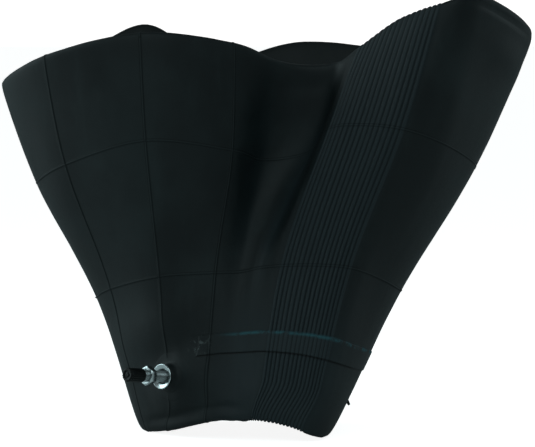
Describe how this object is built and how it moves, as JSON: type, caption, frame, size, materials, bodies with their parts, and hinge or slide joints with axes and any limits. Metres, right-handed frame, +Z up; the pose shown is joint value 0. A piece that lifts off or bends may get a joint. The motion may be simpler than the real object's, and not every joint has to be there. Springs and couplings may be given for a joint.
{
  "type": "inner tube",
  "caption": "Butyl inner tube for a small wide tyre, let down and pressed flat, with a metal screw valve, rim nut, dished washer and cap.",
  "frame": {"origin": "on the floor, under the middle of the tube's box", "axes": "+Z up from the rim edge to the tread edge, -Y towards the side with the valve, +X towards the ribbed lobe"},
  "size_m": [0.3713, 0.1521, 0.3057],
  "materials": {
    "tube_rubber": "satin, slightly bloomed moulded butyl",
    "tape_rubber": "satin cured strip",
    "foot_rubber": "satin moulded rubber",
    "nickel_plate": "bright nickel plate",
    "core_brass": "turned brass",
    "cap_plastic": "satin moulded plastic",
    "seal_rubber": "soft grey rubber",
    "gasket_red": "hard red sealing ring",
    "spring_steel": "drawn wire"
  },
  "bodies": {
    "tube": {"tube_body": "tube_rubber", "splice_tape": "tape_rubber", "valve_patch": "tube_rubber", "valve_base": "foot_rubber", "valve_stem": "nickel_plate", "core_swivel": "core_brass", "core_barrel": "core_brass", "barrel_gasket": "gasket_red"},
    "washer": {"bridge_washer": "nickel_plate"},
    "nut": {"rim_nut": "nickel_plate"},
    "seal": {"cap_seal": "seal_rubber"},
    "cap": {"dust_cap": "cap_plastic"},
    "pin": {"core_pin": "core_brass", "pin_head": "core_brass", "seat_cup": "core_brass", "seat_seal": "foot_rubber", "core_spring": "spring_steel", "spring_seat": "core_brass"}
  },
  "joints": [
    {"name": "nut_turn", "type": "hinge", "parent": "tube", "child": "washer", "pos_m": [-0.067, -0.042, 0.042], "axis": [-0.6641, -0.7376, 0.1219], "range_deg": [-4330, 0]},
    {"name": "nut_travel", "type": "slide", "parent": "washer", "child": "nut", "axis": [-0.6641, -0.7376, 0.1219], "range_m": [-0.0095, 0]},
    {"name": "cap_travel", "type": "slide", "parent": "tube", "child": "seal", "axis": [-0.6641, -0.7376, 0.1219], "range_m": [0, 0.00715]},
    {"name": "cap_turn", "type": "hinge", "parent": "seal", "child": "cap", "pos_m": [-0.067, -0.042, 0.042], "axis": [-0.6641, -0.7376, 0.1219], "range_deg": [0, 3250]},
    {"name": "pin_press", "type": "slide", "parent": "tube", "child": "pin", "axis": [-0.6641, -0.7376, 0.1219], "range_m": [-0.00125, 0], "stiffness_N_per_m": 900, "springref_m": 0.002, "deforming": ["core_spring"]}
  ],
  "couplings": [
    {"joint": "nut_turn", "follows": "nut_travel", "rad_per_m": 7913.3},
    {"joint": "cap_turn", "follows": "cap_travel", "rad_per_m": 7913.3}
  ]
}
